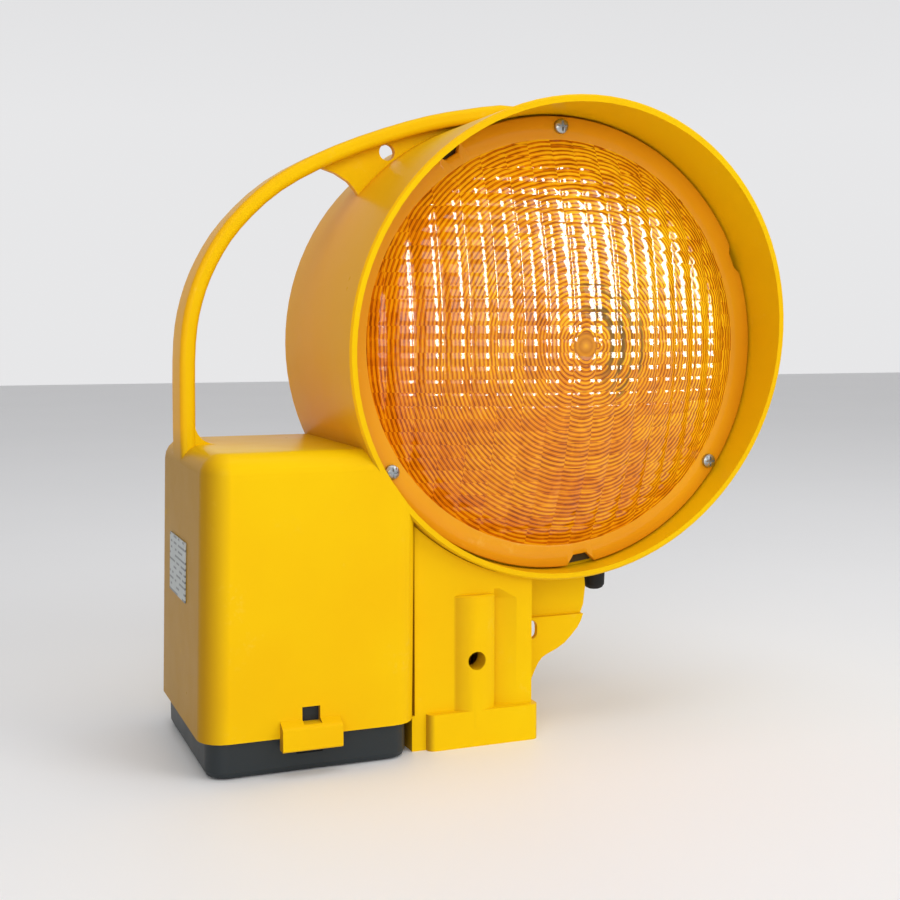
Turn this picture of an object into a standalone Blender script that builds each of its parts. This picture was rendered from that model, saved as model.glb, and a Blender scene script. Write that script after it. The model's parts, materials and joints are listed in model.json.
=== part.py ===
"""Battery warning light for road barriers: a one-piece yellow housing (battery box, lamp drum with
hood, carrying handle), a domed amber lens, a mounting foot and a hinged black battery cover.

Lengths are written in millimetres and turned into metres when a mesh is made. The working frame has
x = 0 on the left wall of the battery box, y = 0 on its front face and z = 0 on the ground; CENTRE
moves everything so that the world origin is under the middle of the part.
"""

import math

import bmesh
import bpy
from mathutils import Vector

MM = 0.001
CENTRE = Vector((134.5, 45.7, 0.0))
GAP = 0.3

# battery box
BOX_DEPTH = 101.0
BOX_BOTTOM = 16.0
BOX_TOP = 133.0
BOX_LEFT = (0.0, 3.0)
BOX_RIGHT = (92.5, 94.0)
BOX_CORNER = 11.0
BOX_EDGE = 9.0
WALL = 2.6

# lamp drum and hood
DRUM_X = 165.0
DRUM_Z = 175.3
DRUM_RADIUS = 104.0
DRUM_BORE = 101.0
DRUM_REAR = 100.0
HOOD_FRONT = -6.0
HOOD_RAKE = 12.0
SEAT_Y = 21.6
SEAT_THICK = 7.0
SEAT_BORE = 88.0

# lens
LENS_FLANGE_RADIUS = 100.0
LENS_FLANGE_FRONT = 16.0
LENS_FLANGE_THICK = 3.0
LENS_DOME_RADIUS = 90.0
LENS_APEX = -10.0
LENS_WALL = 2.5
SCREW_CIRCLE = 95.6
SCREW_ANGLES = {"top": 90.0, "right": -34.8, "left": -145.8}
NOTCH_ANGLES = (122.5, 23.5, -83.0)

# carrying handle, centre line seen from the front
HANDLE_PATH = (
    (6.4, 118.0), (6.4, 150.0), (7.2, 177.0), (10.4, 194.5), (17.0, 211.0), (28.0, 227.5),
    (47.0, 245.0), (74.0, 259.5), (108.0, 272.0), (135.0, 278.6), (162.0, 281.4), (196.0, 271.0),
)
HANDLE_FRONT = 50.0
HANDLE_REAR = 72.0
HANDLE_THICK = 6.8
WEB_Y = (58.5, 62.0)
WEB_HOLE = (99.3, 261.8)
WEB_HOLE_RADIUS = 3.7

# mounting foot
FOOT_X = (93.0, 149.9)
FOOT_Y = (10.5, 70.0)
FOOT_TOP = 99.5
COLLAR_X = (99.5, 152.0)
COLLAR_Y = (7.0, 73.0)
COLLAR_TOP = 16.0
POCKET_X = (99.0, 144.0)
POCKET_Y = (16.5, 65.0)
POCKET_TOP = 58.0
BOSS_X = 122.2
BOSS_RADIUS = 15.4
BOSS_DEPTH = 11.8
BOLT_Z = 38.2
BOLT_RADIUS = 4.1
FOOT_SCREW_Y = (37.0, 60.0)

# battery cover, its hinge and its latch
COVER_X = (3.0, 89.5)
COVER_Y = (3.0, 98.0)
COVER_TOP = 20.0
COVER_WALL = 2.4
HINGE_Y = 105.5
HINGE_Z = 20.0
KNUCKLE_RADIUS = 4.0
PIN_RADIUS = 1.5
LATCH_X = (40.0, 50.4)
LATCH_Y = (3.0, 5.0)
LATCH_Z = (8.3, 29.6)
LATCH_PIVOT = Vector((45.2, 4.0, 9.3))

# battery and its contacts
BATTERY_X = (9.5, 76.5)
BATTERY_Y = (15.0, 82.0)
BATTERY_Z = (20.3, 117.0)
SPRING_TOP = 125.6
STRIP_Z = (126.0, 126.7)
CARRIER_Z = (127.0, 130.1)

# power button under the drum
BUTTON_X = 195.0
BUTTON_Y = 37.0
BUTTON_Z = (59.7, 68.6)


def clear_scene():
    for old in list(bpy.data.objects):
        bpy.data.objects.remove(old)


def make_material(name, colour, roughness, metallic=0.0):
    mat = bpy.data.materials.new(name)
    mat.use_nodes = True
    shader = mat.node_tree.nodes["Principled BSDF"]
    shader.inputs["Base Color"].default_value = (*colour, 1.0)
    shader.inputs["Roughness"].default_value = roughness
    shader.inputs["Metallic"].default_value = metallic
    return mat


def add_object(name, bm, mat=None, smooth=False, origin=None):
    """Turns a bmesh in millimetres into an object whose origin is at `origin`."""
    origin = Vector((DRUM_X, 0.0, DRUM_Z)) if origin is None else Vector(origin)
    bmesh.ops.recalc_face_normals(bm, faces=bm.faces)
    bmesh.ops.translate(bm, verts=bm.verts, vec=-origin)
    bmesh.ops.scale(bm, verts=bm.verts, vec=(MM, MM, MM))
    mesh = bpy.data.meshes.new(name)
    bm.to_mesh(mesh)
    bm.free()
    for face in mesh.polygons:
        face.use_smooth = smooth
    obj = bpy.data.objects.new(name, mesh)
    obj.location = (origin - CENTRE) * MM
    bpy.context.scene.collection.objects.link(obj)
    if mat is not None:
        mesh.materials.append(mat)
    return obj


def loft(rings):
    """Closed skin through rings of equal length, with a flat cap on each end."""
    bm = bmesh.new()
    rows = [[bm.verts.new(point) for point in ring] for ring in rings]
    count = len(rows[0])
    for low, high in zip(rows, rows[1:]):
        for i in range(count):
            j = (i + 1) % count
            bm.faces.new((low[i], low[j], high[j], high[i]))
    bm.faces.new(list(reversed(rows[0])))
    bm.faces.new(rows[-1])
    return bm


def closed_loft(rings):
    """Ring of rings with no caps, for a loop such as a gasket."""
    bm = bmesh.new()
    rows = [[bm.verts.new(point) for point in ring] for ring in rings]
    count = len(rows[0])
    for k, low in enumerate(rows):
        high = rows[(k + 1) % len(rows)]
        for i in range(count):
            j = (i + 1) % count
            bm.faces.new((low[i], low[j], high[j], high[i]))
    return bm


def circle(centre, radius, axis, count=32):
    """Points of a circle about `centre`, square to the axis named x, y or z."""
    points = []
    for i in range(count):
        a = 2.0 * math.pi * i / count
        u, v = radius * math.cos(a), radius * math.sin(a)
        offset = {"x": (0.0, u, v), "y": (u, 0.0, v), "z": (u, v, 0.0)}[axis]
        points.append(Vector(centre) + Vector(offset))
    return points


def along(axis, amount):
    return Vector([amount if name == axis else 0.0 for name in "xyz"])


def turned(centre, axis, stations, count=32):
    """Solid of revolution: stations are (distance along the axis, radius)."""
    rings = [circle(Vector(centre) + along(axis, d), r, axis, count) for d, r in stations]
    return loft(rings)


def rod(base, axis, start, end, radius, count=24):
    """Plain cylinder between two distances along an axis from `base`."""
    return turned(base, axis, ((start, radius), (end, radius)), count)


def box(x, y, z):
    ring = [(x[0], y[0]), (x[1], y[0]), (x[1], y[1]), (x[0], y[1])]
    return loft([[(px, py, h) for px, py in ring] for h in z])


def prism(outline, y):
    """Outline of (x, z) points pushed from y[0] to y[1]."""
    return loft([[(px, depth, pz) for px, pz in outline] for depth in y])


def rounded_ring(x, y, radius, z, steps=5):
    points = []
    corners = (
        (x[1] - radius, y[1] - radius, 0.0), (x[0] + radius, y[1] - radius, 90.0),
        (x[0] + radius, y[0] + radius, 180.0), (x[1] - radius, y[0] + radius, 270.0),
    )
    for cx, cy, start in corners:
        for k in range(steps + 1):
            a = math.radians(start + 90.0 * k / steps)
            points.append((cx + radius * math.cos(a), cy + radius * math.sin(a), z))
    return points


def polar(radius, angle, y=0.0):
    """Point on a circle about the drum axis."""
    a = math.radians(angle)
    return Vector((DRUM_X + radius * math.cos(a), y, DRUM_Z + radius * math.sin(a)))


def boolean(target, tool, operation="DIFFERENCE"):
    mod = target.modifiers.new(tool.name, "BOOLEAN")
    mod.operation = operation
    mod.object = tool
    tool.hide_render = True
    tool.display_type = "WIRE"


def cut(target, name, bm):
    boolean(target, add_object("cut_" + name, bm))


def join(target, name, bm):
    boolean(target, add_object("add_" + name, bm), "UNION")


# ---------------------------------------------------------------- housing

def box_rings(inset, bottom, top, edge):
    """Rings of the battery box, drawn in by `inset` from its outer skin."""
    rings = []
    span = BOX_TOP - BOX_BOTTOM

    def ring(z, pull):
        t = (z - BOX_BOTTOM) / span
        left = BOX_LEFT[0] + t * (BOX_LEFT[1] - BOX_LEFT[0]) + inset + pull
        right = BOX_RIGHT[0] + t * (BOX_RIGHT[1] - BOX_RIGHT[0]) - inset - pull
        radius = max(BOX_CORNER - inset - pull, 1.5)
        return rounded_ring((left, right), (inset + pull, BOX_DEPTH - inset - pull), radius, z)

    rings.append(ring(bottom, 0.0))
    steps = 5
    for k in range(steps + 1):
        a = math.radians(90.0 * k / steps)
        rings.append(ring(top - edge + edge * math.sin(a), edge * (1.0 - math.cos(a))))
    return rings


def hood_ring(radius, shift=0.0, count=96):
    """Front edge of the hood: a circle whose top reaches further forward than its bottom."""
    ring = []
    for point in circle((DRUM_X, 0.0, DRUM_Z), radius, "y", count):
        rise = (point.z - DRUM_Z) / DRUM_RADIUS
        ring.append(Vector((point.x, HOOD_FRONT - HOOD_RAKE * rise + shift, point.z)))
    return ring


def drum_skin(grow=0.0):
    rings = [hood_ring(DRUM_RADIUS - 0.8), hood_ring(DRUM_RADIUS + grow, 0.9)]
    axis_point = (DRUM_X, 0.0, DRUM_Z)
    for y, drop in ((40.0, 0.0), (DRUM_REAR - 4.0, 0.0), (DRUM_REAR - 1.2, 1.2), (DRUM_REAR, 4.0)):
        centre = Vector(axis_point) + along("y", y + grow)
        rings.append(circle(centre, DRUM_RADIUS + grow - drop, "y", 96))
    return loft(rings)


def drum_bore():
    rear = DRUM_REAR - 3.0
    stations = (
        (-60.0, DRUM_BORE), (SEAT_Y, DRUM_BORE), (SEAT_Y, SEAT_BORE),
        (SEAT_Y + SEAT_THICK, SEAT_BORE), (SEAT_Y + SEAT_THICK, DRUM_BORE - 0.4),
        (rear - 3.0, DRUM_BORE - 0.4), (rear, DRUM_BORE - 3.4),
    )
    return turned((DRUM_X, 0.0, DRUM_Z), "y", stations, 96)


def smooth_path(points, per_span=3):
    """Catmull-Rom points through `points`."""
    pts = [Vector((x, 0.0, z)) for x, z in points]
    pts = [2.0 * pts[0] - pts[1]] + pts + [2.0 * pts[-1] - pts[-2]]
    out = []
    for i in range(1, len(pts) - 2):
        a, b, c, d = pts[i - 1:i + 3]
        for k in range(per_span):
            t = k / per_span
            out.append(0.5 * (2 * b + (c - a) * t + (2 * a - 5 * b + 4 * c - d) * t ** 2
                              + (3 * b - a - 3 * c + d) * t ** 3))
    out.append(pts[-2])
    return out


def handle_section(point, side, half_thick, y, radius=2.6, steps=3):
    """Rounded rectangle across the handle at one point of its centre line."""
    outline = rounded_ring((-half_thick, half_thick), y, radius, 0.0, steps)
    return [point + side * across + Vector((0.0, depth, 0.0)) for across, depth, _ in outline]


def handle_strap():
    path = smooth_path(HANDLE_PATH)
    rings = []
    for i, point in enumerate(path):
        ahead = path[min(i + 1, len(path) - 1)] - path[max(i - 1, 0)]
        side = Vector((ahead.z, 0.0, -ahead.x)).normalized()
        rings.append(handle_section(point, side, HANDLE_THICK / 2.0, (HANDLE_FRONT, HANDLE_REAR)))
    return loft(rings)


def handle_web():
    """Plate that ties the upper end of the strap to the drum."""
    upper = [(p.x, p.z) for p in smooth_path(HANDLE_PATH) if 62.0 < p.x < 160.0]
    lower = [(160.0, 240.0), (96.0, 236.0), (86.5, 240.5), (84.5, 244.0), (81.0, 248.0), (75.0, 251.5)]
    return prism(upper + lower, WEB_Y)


def handle_foot_fillet():
    """Flare at the lower end of the strap, where it runs out on the box."""
    radius = 9.0
    x0 = HANDLE_PATH[1][0] + HANDLE_THICK / 2.0 - 0.6
    z0 = BOX_TOP - 1.0
    outline = [(x0, z0)]
    for k in range(7):
        a = math.radians(270.0 - 15.0 * k)
        outline.append((x0 + radius + radius * math.cos(a), z0 + 1.0 + radius + radius * math.sin(a)))
    outline.append((x0, z0 + 1.0 + radius))
    return prism(outline, (HANDLE_FRONT + 1.0, HANDLE_REAR - 1.0))


def latch_guard():
    """Lip moulded on the front wall, hanging over the cover's front edge."""
    outline = [
        (0.6, 23.4), (-2.6, 21.8), (-4.4, 20.8), (-4.8, 20.0), (-4.8, 11.8), (-4.2, 11.2), (0.6, 11.2),
    ]
    return loft([[(x, y, z) for y, z in outline] for x in (32.0, 57.4)])


def housing_knuckle(x):
    block = box(x, (BOX_DEPTH - 1.5, HINGE_Y), (HINGE_Z - 3.2, HINGE_Z + KNUCKLE_RADIUS + 3.0))
    barrel = rod((x[0], HINGE_Y, HINGE_Z), "x", 0.0, x[1] - x[0], KNUCKLE_RADIUS, 20)
    return block, barrel


def build_housing(mat):
    housing = add_object("housing", loft(box_rings(0.0, BOX_BOTTOM, BOX_TOP, BOX_EDGE)), mat)
    join(housing, "drum", drum_skin())
    join(housing, "strap", handle_strap())
    join(housing, "web", handle_web())
    join(housing, "flare", handle_foot_fillet())
    join(housing, "latch_guard", latch_guard())
    for i, x in enumerate(((20.0, 30.0), (64.0, 74.0))):
        block, barrel = housing_knuckle(x)
        join(housing, f"knuckle_block_{i}", block)
        join(housing, f"knuckle_{i}", barrel)
    cut(housing, "bore", drum_bore())
    inside = box_rings(WALL, BOX_BOTTOM - 5.0, BOX_TOP - WALL, BOX_EDGE - WALL)
    bay = add_object("cut_bay", loft(inside))
    boolean(bay, add_object("keep_drum", drum_skin(0.0)))
    boolean(housing, bay)
    add_bosses(housing)
    add_box_details(housing)
    return housing


def add_bosses(housing):
    for name, angle in SCREW_ANGLES.items():
        seat = polar(SCREW_CIRCLE, angle, SEAT_Y + 3.0)
        join(housing, f"boss_{name}", rod(seat, "y", 0.0, 14.0, 4.8, 16))
        cut(housing, f"thread_{name}", rod(seat, "y", -8.0, 12.0, 1.9, 12))
    base = (BUTTON_X, BUTTON_Y, 72.6)
    join(housing, "button_boss", rod(base, "z", 0.0, 10.6, 9.0, 28))
    cut(housing, "button_hole", rod(base, "z", -4.0, 16.0, 4.4, 20))
    for i, y in enumerate(FOOT_SCREW_Y):
        join(housing, f"foot_seat_{i}", rod((126.0, y, 82.2), "z", 0.0, 5.3, 5.5, 20))
        cut(housing, f"foot_hole_{i}", rod((126.0, y, 70.0), "z", 0.0, 20.0, 2.2, 12))
    for i, (x, z) in enumerate(BOARD_POSTS):
        join(housing, f"post_{i}", rod((x, DRUM_REAR - 4.0, z), "y", -5.0, 2.0, 2.4, 10))


def add_box_details(housing):
    cut(housing, "window", box((41.4, 49.0), (-8.0, WALL + 2.0), (21.6, 28.2)))
    cut(housing, "pin_hole", rod((15.0, HINGE_Y, HINGE_Z), "x", 0.0, 64.0, PIN_RADIUS + 0.25, 16))
    cut(housing, "wire_way", rod((83.0, 50.0, 104.0), "z", 0.0, 20.0, 4.0, 16))
    web_hole = (WEB_HOLE[0], WEB_Y[0] - 5.0, WEB_HOLE[1])
    cut(housing, "web_hole", rod(web_hole, "y", 0.0, 14.0, WEB_HOLE_RADIUS, 24))
    for i, middle in enumerate((BATTERY_Y[0] + 10.0, BATTERY_Y[1] - 10.0)):
        y = (middle - 1.2, middle + 1.2)
        join(housing, f"rib_left_{i}", box((2.8, BATTERY_X[0] - 0.6), y, (32.0, 110.0)))
        join(housing, f"rib_right_{i}", box((BATTERY_X[1] + 0.6, 91.6), y, (32.0, 100.0)))
    for i, middle in enumerate((BATTERY_X[0] + 10.0, BATTERY_X[1] - 10.0)):
        x = (middle - 1.2, middle + 1.2)
        join(housing, f"rib_front_{i}", box(x, (1.2, BATTERY_Y[0] - 0.6), (34.0, 110.0)))
        join(housing, f"rib_rear_{i}", box(x, (BATTERY_Y[1] + 0.6, 99.6), (32.0, 110.0)))


# ---------------------------------------------------------------- foot

EYE_OUTLINE = (
    (146.0, 88.0), (182.0, 84.0), (186.2, 72.0), (187.2, 62.0), (186.3, 54.0), (184.6, 49.6),
    (183.6, 46.8), (181.8, 43.7), (178.4, 40.0), (175.0, 36.8), (170.7, 34.3), (166.5, 32.6),
    (163.6, 31.0), (161.6, 28.6), (160.0, 25.5), (158.4, 22.0), (157.4, 18.0), (152.0, 10.0),
    (146.0, 10.0),
)


def build_foot(mat):
    foot = add_object("mounting_foot", box(FOOT_X, FOOT_Y, (0.0, FOOT_TOP)), mat)
    collar = [rounded_ring(COLLAR_X, COLLAR_Y, 3.0, z, 3) for z in (0.0, COLLAR_TOP)]
    join(foot, "collar", loft(collar))
    centre = (BOSS_X, FOOT_Y[0] + BOSS_DEPTH, 8.0)
    stations = ((0.0, BOSS_RADIUS), (58.2, BOSS_RADIUS), (59.0, BOSS_RADIUS - 0.8))
    join(foot, "boss", turned(centre, "z", stations, 72))
    join(foot, "eye", prism(EYE_OUTLINE, (28.0, 37.0)))
    cut(foot, "eye_thin", box((150.2, 200.0), (20.0, 31.0), (50.0, 100.0)))
    cut(foot, "eye_slot", slot_cutter((151.0, 161.0), (40.0, 48.8)))
    cut(foot, "eye_relief", box((150.2, 164.0), (30.8, 45.0), (37.5, 49.0)))
    cut(foot, "recess", recess_cutter())
    cut(foot, "pocket", box(POCKET_X, POCKET_Y, (-5.0, POCKET_TOP)))
    cut(foot, "bolt_hole", rod((BOSS_X, -5.0, BOLT_Z), "y", 0.0, 90.0, BOLT_RADIUS, 20))
    for i, y in enumerate(FOOT_SCREW_Y):
        cut(foot, f"screw_{i}", rod((126.0, y, POCKET_TOP + 4.0), "z", 0.0, 30.0, 2.0, 12))
    cut(foot, "drum_clear", drum_skin(GAP))
    cut(foot, "button_clear", rod((BUTTON_X, BUTTON_Y, 60.0), "z", 0.0, 40.0, 9.6, 20))
    room = box((-20.0, BOX_RIGHT[1] + GAP), (-20.0, 130.0), (BOX_BOTTOM - GAP, 140.0))
    cut(foot, "box_clear", room)
    return foot


def recess_cutter():
    """Wedge beside the boss: deepest against it, running out to the right and at the top."""
    def ring(depth, z):
        inner = FOOT_Y[0] - 0.1 + depth
        outer = FOOT_Y[0] - 0.1
        return [(131.6, 0.0, z), (131.6, inner, z), (134.0, inner, z), (142.6, outer, z),
                (142.6, 0.0, z)]

    return loft([ring(4.0, COLLAR_TOP), ring(4.0, 64.0), ring(0.0, 69.0)])


def slot_cutter(x, z):
    ring = rounded_ring(x, z, 3.0, 0.0, 3)
    return prism([(px, pz) for px, pz, _ in ring], (18.0, 60.0))


def build_foot_screws(mat):
    stations = ((64.0, 1.6), (87.8, 1.6), (87.8, 3.6), (89.6, 3.4), (90.4, 2.2))
    for i, y in enumerate(FOOT_SCREW_Y):
        bm = turned((126.0, y, 0.0), "z", stations, 16)
        screw = add_object(f"foot_screw_{i + 1}", bm, mat, True)
        cut(screw, f"cross_a_{i}", box((125.6, 126.4), (y - 2.4, y + 2.4), (89.0, 93.0)))
        cut(screw, f"cross_b_{i}", box((123.6, 128.4), (y - 0.4, y + 0.4), (89.0, 93.0)))


# ---------------------------------------------------------------- lens

def dome_stations(rim_radius, height, steps):
    """(rise, radius) pairs of a spherical cap, from its rim towards its apex."""
    sphere = (rim_radius ** 2 + height ** 2) / (2.0 * height)
    half = math.asin(rim_radius / sphere)
    out = []
    for k in range(steps + 1):
        a = half * (1.0 - k / steps)
        out.append((sphere * math.cos(a) - (sphere - height), sphere * math.sin(a)))
    return out


def build_lens(mat):
    height = LENS_FLANGE_FRONT - LENS_APEX
    rear = LENS_FLANGE_FRONT + LENS_FLANGE_THICK
    stations = [(rear, LENS_FLANGE_RADIUS), (LENS_FLANGE_FRONT, LENS_FLANGE_RADIUS)]
    for rise, radius in dome_stations(LENS_DOME_RADIUS, height, 12):
        stations.append((LENS_FLANGE_FRONT - rise, max(radius, 0.6)))
    lens = add_object("lens", turned((DRUM_X, 0.0, DRUM_Z), "y", stations, 72), mat, True)
    inner = [(rear + 2.0, LENS_DOME_RADIUS - LENS_WALL)]
    for rise, radius in dome_stations(LENS_DOME_RADIUS - LENS_WALL, height - LENS_WALL + 1.0, 12):
        inner.append((LENS_FLANGE_FRONT + 1.0 - rise, max(radius, 0.6)))
    cut(lens, "lens_inside", turned((DRUM_X, 0.0, DRUM_Z), "y", inner, 72))
    for name, angle in SCREW_ANGLES.items():
        hole = polar(SCREW_CIRCLE, angle, LENS_FLANGE_FRONT - 3.0)
        cut(lens, f"lens_hole_{name}", rod(hole, "y", 0.0, 9.0, 2.1, 14))
    for i, angle in enumerate(NOTCH_ANGLES):
        cut(lens, f"notch_{i}", notch_cutter(angle))
    return lens


def notch_cutter(angle):
    """Block across the edge of the lens flange, turned to `angle`."""
    a = math.radians(angle)
    out = Vector((math.cos(a), 0.0, math.sin(a)))
    side = Vector((-math.sin(a), 0.0, math.cos(a)))
    middle = polar(LENS_FLANGE_RADIUS, angle, 0.0)
    corners = ((-4.6, -7.0), (6.0, -7.0), (6.0, 7.0), (-4.6, 7.0))
    ring = [middle + out * u + side * v for u, v in corners]
    return loft([[p + along("y", y) for p in ring] for y in (LENS_FLANGE_FRONT - 4.0, 25.0)])


def build_gasket(mat):
    y0 = LENS_FLANGE_FRONT + LENS_FLANGE_THICK + GAP
    y1 = SEAT_Y - GAP
    rings = []
    for y, radius in ((y0, 89.0), (y0, 99.4), (y1, 99.4), (y1, 89.0)):
        rings.append(circle((DRUM_X, y, DRUM_Z), radius, "y", 72))
    gasket = add_object("lens_gasket", closed_loft(rings), mat)
    for name, angle in SCREW_ANGLES.items():
        hole = polar(SCREW_CIRCLE, angle, y0 - 2.0)
        cut(gasket, f"gasket_hole_{name}", rod(hole, "y", 0.0, 6.0, 2.1, 14))


def build_lens_screws(mat):
    front = LENS_FLANGE_FRONT - GAP
    shank = ((32.0, 1.0), (30.5, 1.6), (front, 1.6))
    stations = (*shank, (front, 3.3), (front - 1.4, 3.1), (front - 2.2, 2.0))
    for name, angle in SCREW_ANGLES.items():
        tip = polar(SCREW_CIRCLE, angle, 0.0)
        screw = add_object(f"lens_screw_{name}", turned(tip, "y", stations, 18), mat, True)
        x, z = tip.x, tip.z
        cut(screw, f"slot_a_{name}", box((x - 0.4, x + 0.4), (0.0, front - 1.0), (z - 2.2, z + 2.2)))
        cut(screw, f"slot_b_{name}", box((x - 2.2, x + 2.2), (0.0, front - 1.0), (z - 0.4, z + 0.4)))


# ---------------------------------------------------------------- lamp and electronics

BOARD_X = (126.0, 204.0)
BOARD_Z = (98.0, 132.0)
BOARD_POSTS = ((132.0, 104.0), (198.0, 104.0), (132.0, 126.0), (198.0, 126.0))


def build_lamp(dark, white, amber):
    axis_point = (DRUM_X, 0.0, DRUM_Z)
    rear = DRUM_REAR - 3.0 - GAP
    cup = ((rear, 26.0), (rear - 12.0, 24.0), (rear - 24.0, 22.0), (rear - 24.0, 19.5))
    bm = turned(axis_point, "y", (*cup, (rear - 20.0, 19.0)), 40)
    add_object("led_holder", bm, dark, True)
    face = rear - 20.0 - GAP
    add_object("led_board", rod(axis_point, "y", face, face - 1.6, 18.6, 40), white)
    chip = face - 1.6 - GAP
    stations = [(chip, 5.0), (chip - 1.2, 5.0)]
    for rise, radius in dome_stations(4.0, 3.4, 5):
        stations.append((chip - 1.2 - rise, max(radius, 0.4)))
    add_object("led_emitter", turned(axis_point, "y", stations, 24), amber, True)
    sensor = Vector(axis_point) + Vector((11.5, 0.0, 6.0))
    bm = turned(sensor, "y", ((chip, 2.5), (chip - 2.4, 2.5), (chip - 3.2, 1.6)), 16)
    add_object("light_sensor", bm, dark, True)


def build_control_board(green, metal, dark):
    post_face = DRUM_REAR - 9.0
    y = (post_face - GAP - 1.6, post_face - GAP)
    add_object("control_board", box(BOARD_X, y, BOARD_Z), green)
    front = y[0] - GAP
    add_object("radio_module", box((134.0, 156.0), (front - 3.2, front), (104.0, 120.0)), metal)
    add_object("terminal_block", box((166.0, 186.0), (front - 9.0, front), (102.0, 110.0)), green)
    cap = turned((192.0, front, 122.0), "y", ((0.0, 4.0), (-11.0, 4.0), (-11.6, 3.4)), 18)
    add_object("board_capacitor", cap, dark, True)


# ---------------------------------------------------------------- battery side

def build_battery(body, label, brass):
    core = loft([rounded_ring(BATTERY_X, BATTERY_Y, 8.0, z, 4) for z in BATTERY_Z])
    add_object("battery", core, body)
    mid_x = sum(BATTERY_X) / 2.0
    mid_y = sum(BATTERY_Y) / 2.0
    for name, x, y in (("centre", mid_x, mid_y), ("corner", BATTERY_X[0] + 12.0, BATTERY_Y[1] - 12.0)):
        add_object(f"battery_spring_{name}", coil((x, y), BATTERY_Z[1] + GAP, SPRING_TOP), brass, True)
        strip = box((x - 6.0, x + 6.0), (y - 6.0, y + 6.0), STRIP_Z)
        add_object(f"contact_strip_{name}", strip, brass)
    carrier = box((BATTERY_X[0] + 1.0, 66.0), (BATTERY_Y[0] + 4.0, BATTERY_Y[1]), CARRIER_Z)
    add_object("contact_carrier", carrier, label)


def coil(centre, low, high, turns=3.0, wire=0.55):
    """Conical spring: a round wire along a helix that narrows upwards."""
    rings = []
    steps = int(turns * 16)
    rise = high - low - 2.0 * wire
    for k in range(steps + 1):
        t = k / steps
        a = 2.0 * math.pi * turns * t
        radius = 5.6 - 2.6 * t
        out = Vector((math.cos(a), math.sin(a), 0.0))
        point = Vector((centre[0], centre[1], low + wire + rise * t)) + out * radius
        ring = []
        for i in range(6):
            b = math.pi * i / 3.0
            ring.append(point + out * wire * math.cos(b) + along("z", wire * math.sin(b)))
        rings.append(ring)
    return loft(rings)


def cover_ring(inset, z):
    x = (COVER_X[0] + inset, COVER_X[1] - inset)
    y = (COVER_Y[0] + inset, COVER_Y[1] - inset)
    return rounded_ring(x, y, 9.0 - inset, z)


def build_cover(mat, steel):
    hinge = Vector((47.0, HINGE_Y, HINGE_Z))
    outer = [cover_ring(p, z) for z, p in ((0.0, 3.0), (0.9, 0.9), (3.0, 0.0), (COVER_TOP, 0.0))]
    cover = add_object("battery_cover", loft(outer), mat, origin=hinge)
    cut(cover, "tray", loft([cover_ring(COVER_WALL, z) for z in (2.5, 30.0)]))
    for i, x in enumerate((22.0, 64.0)):
        join(cover, f"rest_{i}", box((x - 1.2, x + 1.2), (5.0, 96.5), (1.5, COVER_TOP)))
    rear_relief = box((-5.0, 95.0), (94.0, 99.5), (BOX_BOTTOM - 2.0 * GAP, COVER_TOP + 5.0))
    cut(cover, "rear_relief", rear_relief)
    reach = (HINGE_Y - KNUCKLE_RADIUS, HINGE_Y + KNUCKLE_RADIUS)
    for i, x in enumerate(((30.5, 40.0), (54.0, 63.5))):
        join(cover, f"arm_low_{i}", box(x, (96.8, reach[1]), (9.0, 15.4)))
        join(cover, f"arm_up_{i}", box(x, reach, (14.0, HINGE_Z)))
        barrel = rod((x[0], HINGE_Y, HINGE_Z), "x", 0.0, x[1] - x[0], KNUCKLE_RADIUS, 20)
        join(cover, f"barrel_{i}", barrel)
    cut(cover, "cover_pin_hole", rod((20.0, HINGE_Y, HINGE_Z), "x", 0.0, 60.0, PIN_RADIUS + 0.25, 16))
    latch_room = (LATCH_X[0] - GAP, LATCH_X[1] + GAP)
    cut(cover, "latch_gap", box(latch_room, (-2.0, 5.9), (LATCH_Z[0] - GAP, 40.0)))
    stations = ((0.0, 1.2), (0.4, PIN_RADIUS), (56.4, PIN_RADIUS), (56.8, 1.2))
    add_object("hinge_pin", turned((18.6, HINGE_Y, HINGE_Z), "x", stations, 16), steel, True)
    build_latch(mat, cover, hinge)


def build_latch(mat, cover, hinge):
    (front, rear), (low, high) = LATCH_Y, LATCH_Z
    outline = [
        (front, low), (rear, low), (rear, high - 1.0),
        (rear - 0.6, high), (front + 1.0, high), (front, high - 2.0),
    ]
    bm = loft([[(x, y, z) for y, z in outline] for x in LATCH_X])
    latch = add_object("cover_latch", bm, mat, origin=LATCH_PIVOT)
    latch.parent = cover
    latch.location = (LATCH_PIVOT - hinge) * MM


# ---------------------------------------------------------------- button and label

def build_button(dark, steel):
    base = (BUTTON_X, BUTTON_Y, 0.0)
    low, high = BUTTON_Z
    cap = ((low, 2.6), (low + 0.7, 4.0), (low + 2.2, 4.9), (high, 5.1))
    bm = turned(base, "z", (*cap, (high, 1.9), (high + 9.4, 1.9)), 28)
    add_object("power_button", bm, dark, True, origin=(BUTTON_X, BUTTON_Y, high))
    stations = ((71.0, 4.0), (83.5, 4.0), (83.5, 7.4), (96.0, 7.4))
    body = add_object("power_switch_body", turned(base, "z", stations, 24), dark)
    cut(body, "plunger_bore", rod(base, "z", 66.0, 86.0, 2.3, 16))
    nut = add_object("switch_nut", rod(base, "z", 70.9, 72.3, 6.6, 6), steel)
    cut(nut, "nut_bore", rod(base, "z", 60.0, 80.0, 4.3, 20))


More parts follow.
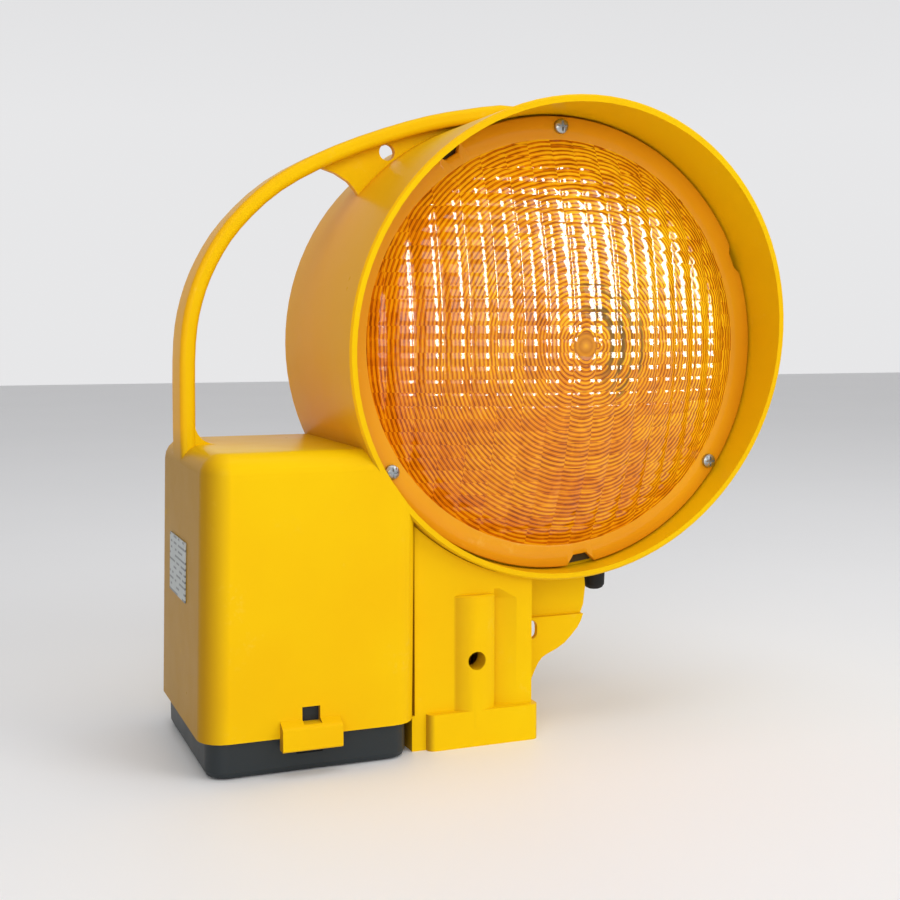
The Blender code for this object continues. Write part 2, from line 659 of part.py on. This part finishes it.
def build_label(mat):
    """Rating plate on the left wall, laid parallel to the wall's draft."""
    slope = (BOX_LEFT[1] - BOX_LEFT[0]) / (BOX_TOP - BOX_BOTTOM)

    def wall(z):
        return BOX_LEFT[0] + slope * (z - BOX_BOTTOM)

    rings = []
    for z in (67.5, 93.0):
        face = wall(z) - 0.15
        rings.append([(face - 0.5, 36.0, z), (face, 36.0, z), (face, 72.0, z), (face - 0.5, 72.0, z)])
    add_object("rating_label", loft(rings), mat)


def main():
    clear_scene()
    yellow = make_material("yellow_housing", (0.86, 0.55, 0.015), 0.3)
    amber = make_material("amber_lens", (0.85, 0.27, 0.02), 0.12)
    black = make_material("black_cover", (0.035, 0.04, 0.042), 0.45)
    rubber = make_material("black_rubber", (0.02, 0.02, 0.02), 0.8)
    zinc = make_material("zinc_steel", (0.62, 0.63, 0.65), 0.3, 1.0)
    brass = make_material("spring_brass", (0.75, 0.55, 0.25), 0.3, 1.0)
    silver = make_material("label_foil", (0.42, 0.45, 0.45), 0.4)
    white = make_material("white_plastic", (0.85, 0.85, 0.82), 0.4)
    green = make_material("green_board", (0.02, 0.2, 0.08), 0.4)
    blue = make_material("battery_wrap", (0.05, 0.12, 0.35), 0.4)
    build_housing(yellow)
    build_foot(yellow)
    build_foot_screws(zinc)
    build_lens(amber)
    build_gasket(rubber)
    build_lens_screws(zinc)
    build_lamp(black, white, amber)
    build_control_board(green, zinc, black)
    build_battery(blue, black, brass)
    build_cover(black, zinc)
    build_button(rubber, zinc)
    build_label(silver)


main()
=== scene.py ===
"""Looks of the battery warning light for road barriers: finishes for every moulding, the lens with
its pillow optics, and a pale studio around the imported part.

Lengths of the part are in millimetres and those of the studio in metres. The lens is drawn about
its own axis, with y along the axis.
"""

import json  # noqa: E402
import math  # noqa: E402

import bmesh  # noqa: E402
import bpy  # noqa: E402
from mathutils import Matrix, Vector  # noqa: E402


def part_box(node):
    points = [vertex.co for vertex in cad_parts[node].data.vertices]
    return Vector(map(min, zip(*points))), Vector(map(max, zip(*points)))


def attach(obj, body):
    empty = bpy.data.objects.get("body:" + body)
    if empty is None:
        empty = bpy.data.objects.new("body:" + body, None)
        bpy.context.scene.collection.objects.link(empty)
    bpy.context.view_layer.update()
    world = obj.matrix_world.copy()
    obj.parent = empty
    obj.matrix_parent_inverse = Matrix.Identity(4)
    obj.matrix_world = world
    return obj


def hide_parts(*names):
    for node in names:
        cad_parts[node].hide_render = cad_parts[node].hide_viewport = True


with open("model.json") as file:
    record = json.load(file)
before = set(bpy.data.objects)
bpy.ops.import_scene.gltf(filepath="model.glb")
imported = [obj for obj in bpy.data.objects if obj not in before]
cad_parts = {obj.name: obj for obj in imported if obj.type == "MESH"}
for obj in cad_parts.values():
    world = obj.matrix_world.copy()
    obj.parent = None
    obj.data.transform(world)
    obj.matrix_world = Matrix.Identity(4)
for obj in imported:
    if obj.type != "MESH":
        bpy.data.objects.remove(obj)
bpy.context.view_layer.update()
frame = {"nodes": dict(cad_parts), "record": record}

MM = 0.001
NODES = frame["nodes"]
FLOOR_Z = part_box("mounting_foot")[0].z

# the lens, from its own node
LENS_LOW, LENS_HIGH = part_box("lens")
LENS_CENTRE = Vector(((LENS_LOW.x + LENS_HIGH.x) / 2.0, 0.0, (LENS_LOW.z + LENS_HIGH.z) / 2.0))
FLANGE_RADIUS = (LENS_HIGH.x - LENS_LOW.x) / 2.0 / MM
FLANGE_THICK = 3.0
FLANGE_EDGE = 0.5
FLANGE_INSIDE = 1.6
FLANGE_LIP = (0.3, 0.9)
DOME_RADIUS = 90.0
LENS_APEX = LENS_LOW.y / MM
FLANGE_REAR = LENS_HIGH.y / MM
FLANGE_FRONT = FLANGE_REAR - FLANGE_THICK
DOME_RISE = FLANGE_FRONT - LENS_APEX
SPHERE_RADIUS = (DOME_RADIUS ** 2 + DOME_RISE ** 2) / (2.0 * DOME_RISE)

# pillow optics moulded on the dome; the dome runs on a little under the flange
DOME_OVERLAP = 2.4
COLUMN_PITCH = 11.0
ROW_PITCH = 5.6
COLUMN_DEPTH = 1.3
ROW_DEPTH = 0.42
COLUMN_SAMPLES = 10
ROW_SAMPLES = 8
BULLSEYE_RADIUS = 5.4
BULLSEYE_FADE = 0.6
BULLSEYE_EDGE = 0.4
RING_PITCH = 3.4
PILLOW_FADE = (83.5, 88.0)

# flange notches: middle angle in degrees and depth
NOTCHES = ((122.5, 4.6), (23.5, 1.8), (-83.0, 4.6))
NOTCH_HALF_ANGLE = 4.0
FLANGE_SEGMENTS = 720

# how the rings behind the lens look through its pillows: pull across and up as a share of a
# pillow, jump from pillow to pillow, slow sway, and the range of contrast
PILLOW_PULL = (1.1, 0.8)
PILLOW_JUMP = 1.8
RING_SWAY = 4.0
RING_CONTRAST = (0.30, 0.48)
FINE_RING = 0.37

# painted shadow of the lamp holder behind the lens, seen as two dark arcs: radius, soft edge and
# hard edge
CUP_ARC = (15.0, 3.4, 1.2)
CUP_RIM = (24.5, 1.9, 0.6)
CUP_RIM_STRENGTH = 0.8
CUP_STRENGTH = 0.88

# other mouldings
EDGE_ROUND = {"housing": 0.5, "mounting_foot": 0.6, "battery_cover": 0.4, "cover_latch": 0.3}
EDGE_SEGMENTS = 2
EDGE_ANGLE = 38.0
SHARP_ANGLE = 34.0
FLANGE_SHARP_ANGLE = 50.0
WELD = 0.002
FLAT_ANGLE = 0.4
LABEL_LINE = 2.7
LABEL_WORD = 3.4
LABEL_BAR = 0.36
LABEL_GAPS = 0.38

# texture sizes, as noise scales per metre
DRIFT_SCALE = 9.0
SINK_SCALE = 24.0
SCUFF_ZONE_SCALE = 38.0
GLOSS_SCALE = 60.0
SCUFF_SCALE = 420.0
SPECK_SCALE = 900.0
GRAIN_SCALE = 1500.0

# where the painted shade of left-facing walls sets in, across and up, and how much of it there is
PAINTED_SHADE_ACROSS = (20.0, -40.0)
BOX_TOP_BLEND = (125.0, 140.0)
PAINTED_SHADE_AMOUNT = 0.95

# studio; each light has its angles, distance, size and power
FLOOR_SIZE = 8.0
SKY_BAND = (0.15, 0.60)
SKY_LOW = (0.80, 0.80, 0.81, 1.0)
SKY_HIGH = (0.60, 0.60, 0.61, 1.0)
SKY_DIM_SIDE = 0.42
FILL_LIGHT = ((-25.0, 15.0), 1.6, (0.9, 0.9), 8.5)
KEY_LIGHT = ((38.0, 30.0), 1.5, (0.7, 0.9), 5.6)
TOP_LIGHT = ((10.0, 78.0), 1.5, (1.2, 0.9), 6.5)
FRONT_STRIP = ((-2.0, 22.0), 1.3, (0.22, 1.05), 30.0)
SIDE_STRIP = ((60.0, 22.0), 1.3, (0.46, 1.05), 50.0)
CAMERA_PLACE = (-0.2322, -0.5576, 0.1820)
CAMERA_AIM = (0.369, 0.925, -0.0908)
CAMERA_LENS = 52.64
CAMERA_SENSOR = 36.0


# ---------------------------------------------------------------- node graphs

class Graph:
    """Short-hand for building one material's node tree."""

    def __init__(self, name):
        self.material = bpy.data.materials.new(name)
        self.material.use_nodes = True
        self.tree = self.material.node_tree
        self.shader = self.tree.nodes["Principled BSDF"]
        self.coordinates = self.tree.nodes.new("ShaderNodeTexCoord")
        self.position = self.coordinates.outputs["Object"]

    def node(self, kind, inputs=None, **settings):
        made = self.tree.nodes.new(kind)
        for key, value in settings.items():
            setattr(made, key, value)
        for key, value in (inputs or {}).items():
            self.feed(made.inputs[key], value)
        return made

    def feed(self, socket, value):
        if isinstance(value, bpy.types.NodeSocket):
            self.tree.links.new(value, socket)
        else:
            socket.default_value = value

    def noise(self, scale, detail=3.0, roughness=0.55, distortion=0.0):
        inputs = {
            "Vector": self.position,
            "Scale": scale,
            "Detail": detail,
            "Roughness": roughness,
            "Distortion": distortion,
        }
        return self.node("ShaderNodeTexNoise", inputs).outputs["Fac"]

    def math(self, operation, a, b=0.0, clamp=False):
        made = self.node("ShaderNodeMath", operation=operation, use_clamp=clamp)
        self.feed(made.inputs[0], a)
        self.feed(made.inputs[1], b)
        return made.outputs[0]

    def ramp(self, factor, stops):
        made = self.node("ShaderNodeValToRGB", {"Fac": factor})
        band = made.color_ramp
        while len(band.elements) < len(stops):
            band.elements.new(0.5)
        for element, (position, colour) in zip(band.elements, stops):
            element.position = position
            element.color = (*colour, 1.0)
        return made.outputs["Color"]

    def levels(self, factor, low, high):
        """Grey ramp from 0 at `low` to 1 at `high`."""
        inputs = {"Value": factor, "From Min": low, "From Max": high}
        return self.node("ShaderNodeMapRange", inputs).outputs["Result"]

    def span(self, factor, low, high):
        """0..1 turned into low..high."""
        inputs = {"Value": factor, "To Min": low, "To Max": high}
        return self.node("ShaderNodeMapRange", inputs).outputs["Result"]

    def mix(self, factor, a, b, blend="MIX"):
        made = self.node("ShaderNodeMix", data_type="RGBA", blend_type=blend)
        for index, value in ((0, factor), (6, a), (7, b)):
            if isinstance(value, tuple) and len(value) == 3:
                value = (*value, 1.0)
            self.feed(made.inputs[index], value)
        return made.outputs[2]

    def length(self, a, b):
        squares = (self.math("MULTIPLY", side, side) for side in (a, b))
        return self.math("SQRT", self.math("ADD", *squares))

    def rings(self, radius, pitch):
        """0..1 wave along a radius, one crest for each pitch in millimetres."""
        phase = self.math("MULTIPLY", radius, 2.0 * math.pi / (pitch * MM))
        return self.levels(self.math("SINE", phase), -1.0, 1.0)

    def blend_sum(self, *terms):
        """Sum of (value, weight) pairs."""
        total = None
        for value, weight in terms:
            part = self.math("MULTIPLY", value, weight)
            total = part if total is None else self.math("ADD", total, part)
        return total

    def cup_shadow(self, radius, x, z):
        """Dark arcs of the lamp holder behind the lens, on the side away from the light."""
        arcs = []
        for middle, soft, hard in (CUP_ARC, CUP_RIM):
            off = self.math("ABSOLUTE", self.math("SUBTRACT", radius, middle * MM))
            arcs.append(self.levels(off, soft * MM, hard * MM))
        arc = self.math("MAXIMUM", arcs[0], self.math("MULTIPLY", arcs[1], CUP_RIM_STRENGTH))
        side = self.levels(self.blend_sum((x, 1.0), (z, 0.35)), 0.000, 0.010)
        return self.math("MULTIPLY", arc, self.math("MULTIPLY", side, CUP_STRENGTH))

    def chance(self, column, row):
        """One random value for each whole-numbered cell."""
        cell = self.node("ShaderNodeCombineXYZ", {
            "X": self.math("FLOOR", column), "Y": self.math("FLOOR", row),
        })
        inputs = {"Vector": cell.outputs[0]}
        made = self.node("ShaderNodeTexWhiteNoise", inputs, noise_dimensions="2D")
        return made.outputs["Value"]

    def separate(self, vector):
        return self.node("ShaderNodeSeparateXYZ", {"Vector": vector}).outputs

    def bump(self, height, strength, distance, normal=None):
        inputs = {"Height": height, "Strength": strength, "Distance": distance}
        if normal is not None:
            inputs["Normal"] = normal
        return self.node("ShaderNodeBump", inputs).outputs["Normal"]

    def finish(self, colour, roughness, normal=None, **fixed):
        """Wires up the shader. `fixed` holds its constant settings, with _ for a blank."""
        self.feed(self.shader.inputs["Base Color"], colour)
        self.feed(self.shader.inputs["Roughness"], roughness)
        if normal is not None:
            self.feed(self.shader.inputs["Normal"], normal)
        for key, value in fixed.items():
            self.shader.inputs[key.replace("_", " ")].default_value = value
        return self.material


def moulded_plastic(name, base, shade, worn, gloss, grain=0.10, shine=0.30, side=None):
    """Injection-moulded plastic: slow colour drift, faint flow marks, scuffs and fine grain.
    `side` holds the painted shade of walls that face left: a darker colour low down and a lighter
    one up on the drum."""
    g = Graph(name)
    drift = g.noise(DRIFT_SCALE, 3.0)
    colour = g.mix(g.levels(drift, 0.35, 0.68), shade, base)
    if side:
        # painted shade: walls facing left, towards the left, take the darker side colour low down
        # and a lighter orange above the box top
        facing = g.levels(g.separate(g.coordinates.outputs["Normal"])[0], 0.0, -0.85)
        x, _, z = g.separate(g.position)[:3]
        left_shade_mask = g.levels(x, *(edge * MM for edge in PAINTED_SHADE_ACROSS))
        high = g.levels(z, *(edge * MM for edge in BOX_TOP_BLEND))
        painted_shade = g.math("MULTIPLY", g.math("MULTIPLY", facing, left_shade_mask), PAINTED_SHADE_AMOUNT)
        colour = g.mix(painted_shade, colour, g.mix(high, *side))
    scuff_zone = g.levels(g.noise(SCUFF_ZONE_SCALE, 5.0, roughness=0.7), 0.60, 0.76)
    scuffs = g.math("MULTIPLY", scuff_zone, g.levels(g.noise(SCUFF_SCALE, 2.0), 0.5, 0.75))
    colour = g.mix(g.math("MULTIPLY", scuffs, 0.5), colour, worn)
    speck = g.levels(g.noise(SPECK_SCALE, 1.0), 0.70, 0.78)
    colour = g.mix(g.math("MULTIPLY", speck, 0.12), colour, shade)
    roughness = g.span(g.noise(GLOSS_SCALE, 4.0), *gloss)
    roughness = g.math("ADD", roughness, g.math("MULTIPLY", scuffs, 0.25), clamp=True)
    fine = g.bump(g.noise(GRAIN_SCALE, 2.0), grain, 0.00006)
    sink = g.bump(g.noise(SINK_SCALE, 2.0), 0.10, 0.0012, fine)
    return g.finish(colour, roughness, sink, IOR=1.45, Specular_IOR_Level=shine)


def brushed_metal(name, base, dull, gloss=(0.22, 0.42)):
    """Plated metal with duller patches and a fine brushed grain."""
    g = Graph(name)
    drift = g.levels(g.noise(260.0, 4.0), 0.35, 0.7)
    colour = g.mix(drift, base, dull)
    roughness = g.span(g.noise(700.0, 3.0), *gloss)
    normal = g.bump(g.noise(1800.0, 2.0), 0.15, 0.00005)
    return g.finish(colour, roughness, normal, Metallic=1.0)


def board_finish(name):
    """Solder-masked board with copper tracks showing as lighter lines."""
    g = Graph(name)
    x, _, z = g.separate(g.position)[:3]
    wobble = g.math("MULTIPLY", g.noise(90.0, 0.0), 0.004)
    tracks = g.math("PINGPONG", g.math("ADD", g.math("ADD", x, z), wobble), 0.0012)
    line = g.levels(tracks, 0.0008, 0.0009)
    base = g.mix(g.noise(40.0, 3.0), (0.012, 0.10, 0.035), (0.018, 0.16, 0.05))
    colour = g.mix(g.math("MULTIPLY", line, 0.5), base, (0.05, 0.30, 0.10))
    return g.finish(colour, g.span(g.noise(300.0, 2.0), 0.25, 0.4), g.bump(line, 0.3, 0.00008))


def lens_finish(name):
    """Amber plastic whose inner prism rings are seen through the pillows, so each pillow shows its
    own broken piece of the ring pattern. All of it follows the lens, not the viewer."""
    g = Graph(name)
    x, _, z = g.separate(g.position)[:3]
    column = g.math("ADD", g.math("DIVIDE", x, COLUMN_PITCH * MM), 0.5)
    row = g.math("ADD", g.math("DIVIDE", z, ROW_PITCH * MM), 0.5)
    column_in = g.math("SUBTRACT", g.math("FRACT", column), 0.5)
    row_in = g.math("SUBTRACT", g.math("FRACT", row), 0.5)
    true_radius = g.length(x, z)
    outside = g.levels(true_radius, BULLSEYE_RADIUS * MM, (BULLSEYE_RADIUS + BULLSEYE_EDGE) * MM)
    push_x = g.math("MULTIPLY", column_in, PILLOW_PULL[0] * COLUMN_PITCH * MM)
    push_z = g.math("MULTIPLY", row_in, PILLOW_PULL[1] * ROW_PITCH * MM)
    seen_x = g.math("ADD", x, g.math("MULTIPLY", push_x, outside))
    seen_z = g.math("ADD", z, g.math("MULTIPLY", push_z, outside))
    radius = g.length(seen_x, seen_z)
    sway = g.math("MULTIPLY", g.noise(30.0, 2.0), RING_SWAY * MM)
    chance = g.chance(column, row)
    broken = g.blend_sum((radius, 1.0), (sway, 1.0), (chance, PILLOW_JUMP * MM))
    wave = g.rings(broken, RING_PITCH)
    fine = g.rings(broken, RING_PITCH * FINE_RING)
    blotch = g.noise(150.0, 3.0, distortion=0.8)
    depth = g.span(g.chance(row, column), *RING_CONTRAST)
    ring = g.math("MULTIPLY", wave, depth)
    level = g.blend_sum((ring, 1.0), (fine, 0.14), (blotch, 0.40), (chance, 0.06))
    streaks = g.ramp(level, (
        (0.24, (0.26, 0.06, 0.002)),
        (0.38, (0.62, 0.165, 0.002)),
        (0.56, (0.76, 0.265, 0.003)),
        (0.76, (0.90, 0.45, 0.006)),
    ))
    # painted light and shade: yellow patches towards the upper right, deeper orange towards the
    # lower left
    painted_light_slope = g.blend_sum((x, 3.6), (z, 4.2), (g.noise(18.0, 3.0), 1.1))
    painted_light_mask = g.levels(painted_light_slope, 0.50, 1.05)
    painted_light_patches = g.math("MULTIPLY", painted_light_mask, g.levels(level, 0.40, 0.62))
    colour = g.mix(g.math("MULTIPLY", painted_light_patches, 0.75), streaks, (1.0, 0.66, 0.012))
    painted_shade_deep = g.math("MULTIPLY", g.levels(painted_light_slope, 0.52, 0.10), 0.35)
    colour = g.mix(painted_shade_deep, colour, (0.80, 0.24, 0.006), "MULTIPLY")
    colour = g.mix(g.cup_shadow(radius, x, z), colour, (0.13, 0.075, 0.014))
    eye = g.ramp(g.math("DIVIDE", true_radius, BULLSEYE_RADIUS * MM), (
        (0.0, (0.80, 0.36, 0.02)), (0.30, (0.62, 0.24, 0.02)), (0.55, (0.50, 0.17, 0.01)),
        (0.78, (0.66, 0.25, 0.012)), (1.0, (0.42, 0.13, 0.006)),
    ))
    colour = g.mix(outside, eye, colour)
    roughness = g.span(g.noise(500.0, 2.0), 0.05, 0.10)
    normal = g.bump(wave, 0.05, 0.0002)
    return g.finish(colour, roughness, normal, IOR=1.5, Specular_IOR_Level=0.34)


def label_finish(name):
    """Foil plate with plain printed bars, no lettering."""
    g = Graph(name)
    _, y, z = g.separate(g.position)[:3]
    line = g.math("DIVIDE", z, LABEL_LINE * MM)
    word = g.math("DIVIDE", y, LABEL_WORD * MM)
    printed = g.math("GREATER_THAN", g.chance(word, line), LABEL_GAPS)
    bar = g.math("MULTIPLY", g.math("LESS_THAN", g.math("FRACT", line), LABEL_BAR), printed)
    base = g.mix(g.noise(80.0, 3.0), (0.42, 0.45, 0.44), (0.55, 0.58, 0.57))
    colour = g.mix(g.math("MULTIPLY", bar, 0.75), base, (0.10, 0.11, 0.11))
    roughness = g.span(g.noise(200.0, 3.0), 0.30, 0.5)
    return g.finish(colour, roughness, g.bump(g.noise(700.0, 1.0), 0.1, 0.00005), Metallic=0.35)


# the side colours are painted shade: darker for the low left-facing walls, lighter orange up on
# the drum
YELLOW = moulded_plastic(
    "yellow_plastic", (0.83, 0.53, 0.003), (0.80, 0.46, 0.003), (0.88, 0.62, 0.12),
    gloss=(0.24, 0.36), shine=0.04, side=((0.42, 0.215, 0.008), (0.84, 0.40, 0.008)),
)
BLACK = moulded_plastic(
    "slate_plastic", (0.027, 0.034, 0.037), (0.020, 0.025, 0.028), (0.10, 0.11, 0.115),
    gloss=(0.34, 0.52), grain=0.35,
)
RUBBER = moulded_plastic(
    "rubber", (0.014, 0.014, 0.015), (0.010, 0.010, 0.010), (0.05, 0.05, 0.05),
    gloss=(0.55, 0.8), grain=0.4,
)
WHITE = moulded_plastic(
    "white_plastic", (0.72, 0.72, 0.69), (0.66, 0.66, 0.62), (0.5, 0.48, 0.44),
    gloss=(0.3, 0.45),
)
WRAP = moulded_plastic(
    "battery_wrap", (0.05, 0.09, 0.16), (0.04, 0.07, 0.13), (0.3, 0.32, 0.35),
    gloss=(0.2, 0.35),
)
STEEL = brushed_metal("zinc_steel", (0.48, 0.51, 0.52), (0.30, 0.32, 0.33))
BRASS = brushed_metal("spring_brass", (0.80, 0.62, 0.30), (0.55, 0.42, 0.22))
BOARD = board_finish("green_board")
LABEL = label_finish("label_foil")
AMBER = lens_finish("amber_lens")
AMBER_PLAIN = moulded_plastic(
    "amber_plain", (0.78, 0.36, 0.010), (0.72, 0.29, 0.007), (0.92, 0.58, 0.12),
    gloss=(0.10, 0.18), grain=0.02, shine=0.22,
)
GASKET = moulded_plastic(
    "gasket_rubber", (0.060, 0.042, 0.012), (0.035, 0.024, 0.008), (0.10, 0.08, 0.04),
    gloss=(0.5, 0.7), grain=0.3, shine=0.20,
)


# ---------------------------------------------------------------- pieces

def add_piece(name, mesh, material, body, replaced=(), location=(0.0, 0.0, 0.0)):
    """One visual piece that rides on a body, fills a material slot and may replace nodes."""
    piece = bpy.data.objects.new(name, mesh)
    piece.location = location
    bpy.context.scene.collection.objects.link(piece)
    mesh.materials.clear()
    mesh.materials.append(material)
    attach(piece, body)
    if replaced:
        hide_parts(*replaced)
    return piece


def shade(mesh, sharp_angle=SHARP_ANGLE):
    for face in mesh.polygons:
        face.use_smooth = True
    mesh.set_sharp_from_angle(angle=math.radians(sharp_angle))


def skin(node, name, material, body):
    """The node's own shape as one welded skin with clean shading."""
    bm = bmesh.new()
    bm.from_mesh(NODES[node].data)
    bmesh.ops.remove_doubles(bm, verts=bm.verts, dist=WELD * MM)
    flat = math.radians(FLAT_ANGLE)
    bmesh.ops.dissolve_limit(bm, angle_limit=flat, verts=bm.verts, edges=bm.edges)
    mesh = bpy.data.meshes.new(name)
    bm.to_mesh(mesh)
    bm.free()
    shade(mesh)
    piece = add_piece(name, mesh, material, body, (node,))
    if node in EDGE_ROUND:
        edge = piece.modifiers.new("rounded_edges", "BEVEL")
        edge.width = EDGE_ROUND[node] * MM
        edge.segments = EDGE_SEGMENTS
        edge.limit_method = "ANGLE"
        edge.angle_limit = math.radians(EDGE_ANGLE)
    evened = piece.modifiers.new("flat_faces", "WEIGHTED_NORMAL")
    evened.keep_sharp = True
    evened.weight = 80
    return piece


def dome_y(radius):
    """Where the plain dome lies along the lens axis, in millimetres."""
    return LENS_APEX + SPHERE_RADIUS - math.sqrt(SPHERE_RADIUS ** 2 - radius ** 2)


def pillow(x, z):
    """Height of the pillow pattern over the dome, in millimetres."""
    across = x / COLUMN_PITCH
    up = z / ROW_PITCH
    across = across - math.floor(across + 0.5)
    up = up - math.floor(up + 0.5)
    height = COLUMN_DEPTH * (0.5 - 4.0 * across ** 2) + ROW_DEPTH * (0.5 - 4.0 * up ** 2)
    radius = math.hypot(x, z)
    plain = min(1.0, max(0.0, (radius - BULLSEYE_RADIUS) / BULLSEYE_FADE))
    low, high = PILLOW_FADE
    edge = min(1.0, max(0.0, (high - radius) / (high - low)))
    return height * plain * edge


def build_dome():
    """Dome with pillows. Its edge dips behind the flange's front face."""
    reach = DOME_RADIUS + DOME_OVERLAP
    step_x = COLUMN_PITCH / COLUMN_SAMPLES
    step_z = ROW_PITCH / ROW_SAMPLES
    half_x = int(reach / step_x) + 1
    half_z = int(reach / step_z) + 1
    bm = bmesh.new()
    grid = {}
    for i in range(-half_x, half_x + 1):
        for j in range(-half_z, half_z + 1):
            x, z = i * step_x, j * step_z
            radius = math.hypot(x, z)
            if radius < reach:
                y = dome_y(radius) - pillow(x, z)
                grid[i, j] = bm.verts.new((x * MM, y * MM, z * MM))
    for i, j in grid:
        loop = [grid.get(key) for key in ((i, j), (i + 1, j), (i + 1, j + 1), (i, j + 1))]
        if None not in loop:
            bm.faces.new(loop)
    loose = [v for v in bm.verts if not v.link_faces]
    bmesh.ops.delete(bm, geom=loose, context="VERTS")
    bmesh.ops.recalc_face_normals(bm, faces=bm.faces)
    mesh = bpy.data.meshes.new("lens_dome")
    bm.to_mesh(mesh)
    bm.free()
    shade(mesh, 180.0)
    return mesh


def flange_edge(angle):
    """Outer radius of the flange, which has three notches with sloping ends."""
    for middle, depth in NOTCHES:
        off = (angle - middle + 180.0) % 360.0 - 180.0
        if abs(off) < NOTCH_HALF_ANGLE:
            slope = min(1.0, 2.0 * (1.0 - abs(off) / NOTCH_HALF_ANGLE))
            return FLANGE_RADIUS - depth * slope
    return FLANGE_RADIUS


def build_flange():
    """Flat ring round the dome, closed on every side."""
    bm = bmesh.new()
    rows = []
    inner = DOME_RADIUS - FLANGE_INSIDE
    lip, drop = FLANGE_LIP
    for k in range(FLANGE_SEGMENTS):
        angle = 360.0 * k / FLANGE_SEGMENTS
        outer = flange_edge(angle)
        section = (
            (inner, FLANGE_REAR), (inner, FLANGE_FRONT + drop),
            (DOME_RADIUS - lip, FLANGE_FRONT), (outer - FLANGE_EDGE, FLANGE_FRONT),
            (outer, FLANGE_FRONT + FLANGE_EDGE), (outer, FLANGE_REAR),
        )
        turn = math.radians(angle)
        across, up = math.cos(turn) * MM, math.sin(turn) * MM
        rows.append([bm.verts.new((r * across, y * MM, r * up)) for r, y in section])
    for k, low in enumerate(rows):
        high = rows[(k + 1) % len(rows)]
        for i, corner in enumerate(low):
            j = (i + 1) % len(low)
            bm.faces.new((corner, low[j], high[j], high[i]))
    bmesh.ops.recalc_face_normals(bm, faces=bm.faces)
    mesh = bpy.data.meshes.new("lens_flange")
    bm.to_mesh(mesh)
    bm.free()
    shade(mesh, FLANGE_SHARP_ANGLE)
    return mesh


def main():
    """Skins every node, builds the lens and sets up the studio."""
    groups = frame["record"]["behaviour"]["bodies"].items()
    bodies = {node: body for body, members in groups for node in members}
    finishes = {
        "yellow_housing": YELLOW, "black_plastic": BLACK, "black_rubber": RUBBER,
        "zinc_steel": STEEL, "spring_brass": BRASS, "label_foil": LABEL,
        "white_plastic": WHITE, "green_board": BOARD, "battery_wrap": WRAP,
        "amber_lens": AMBER,
    }
    for part in frame["record"]["subparts"]:
        node, slot = part["node"], part["material_slot"]
        if node == "lens":
            continue
        finish = GASKET if node == "lens_gasket" else finishes[slot]
        skin(node, f"{node}_skin", finish, bodies[node])
    body = bodies["lens"]
    dome = add_piece("lens_dome", build_dome(), AMBER, body, (), LENS_CENTRE)
    flange = build_flange()
    add_piece("lens_flange", flange, AMBER_PLAIN, body, ("lens",), LENS_CENTRE)
    build_stage([dome])


def build_sky():
    """Pale surround, a little darker overhead and to the left."""
    world = bpy.data.worlds.new("studio")
    bpy.context.scene.world = world
    world.use_nodes = True
    tree = world.node_tree
    sky = tree.nodes["Background"]
    direction = tree.nodes.new("ShaderNodeTexCoord").outputs["Generated"]
    split = tree.nodes.new("ShaderNodeSeparateXYZ")
    tree.links.new(direction, split.inputs[0])
    band = tree.nodes.new("ShaderNodeValToRGB")
    tree.links.new(split.outputs["Z"], band.inputs["Fac"])
    stops = zip(band.color_ramp.elements, SKY_BAND, (SKY_LOW, SKY_HIGH))
    for element, position, colour in stops:
        element.position = position
        element.color = colour
    side = tree.nodes.new("ShaderNodeMapRange")
    dimming = {"From Min": -0.95, "From Max": 0.0, "To Min": SKY_DIM_SIDE, "To Max": 1.0}
    for key, value in dimming.items():
        side.inputs[key].default_value = value
    tree.links.new(split.outputs["X"], side.inputs["Value"])
    tree.links.new(side.outputs["Result"], sky.inputs["Strength"])
    tree.links.new(band.outputs["Color"], sky.inputs["Color"])


def build_stage(glossy):
    """Floor, sky, lights and camera. The strips light only the `glossy` pieces."""
    bpy.ops.mesh.primitive_plane_add(size=FLOOR_SIZE, location=(0.0, 0.0, FLOOR_Z))
    floor = bpy.context.active_object
    floor.name = "floor"
    floor.data.materials.append(studio_floor())
    build_sky()
    softbox("fill", *FILL_LIGHT)
    softbox("key", *KEY_LIGHT)
    softbox("top", *TOP_LIGHT)
    lens_only = bpy.data.collections.new("lens_only")
    for piece in glossy:
        lens_only.objects.link(piece)
    for name, settings in (("front_strip", FRONT_STRIP), ("side_strip", SIDE_STRIP)):
        strip = softbox(name, *settings)
        strip.light_linking.receiver_collection = lens_only
        strip.visible_diffuse = False
    camera = bpy.data.cameras.new("camera")
    camera.lens = CAMERA_LENS
    camera.sensor_width = CAMERA_SENSOR
    holder = bpy.data.objects.new("camera", camera)
    holder.location = CAMERA_PLACE
    holder.rotation_euler = Vector(CAMERA_AIM).to_track_quat("-Z", "Y").to_euler()
    bpy.context.scene.collection.objects.link(holder)
    bpy.context.scene.camera = holder
    bpy.context.scene.view_settings.view_transform = "Standard"


def softbox(name, angles, distance, size, power):
    """Rectangular light that faces the lens, at angles to the right of its axis and above it."""
    turn, rise = (math.radians(angle) for angle in angles)
    level = math.cos(rise)
    away = Vector((math.sin(turn) * level, -math.cos(turn) * level, math.sin(rise)))
    light = bpy.data.lights.new(name, "AREA")
    light.shape = "RECTANGLE"
    light.size, light.size_y = size
    light.energy = power
    holder = bpy.data.objects.new(name, light)
    holder.location = LENS_CENTRE + away * distance
    holder.rotation_euler = (-away).to_track_quat("-Z", "Y").to_euler()
    bpy.context.scene.collection.objects.link(holder)
    return holder


def studio_floor():
    """Plain pale floor with a very slight drift of tone."""
    g = Graph("studio_floor")
    colour = g.mix(g.noise(3.0, 2.0), (0.84, 0.84, 0.845), (0.87, 0.87, 0.875))
    return g.finish(colour, g.span(g.noise(20.0, 2.0), 0.5, 0.6))


main()
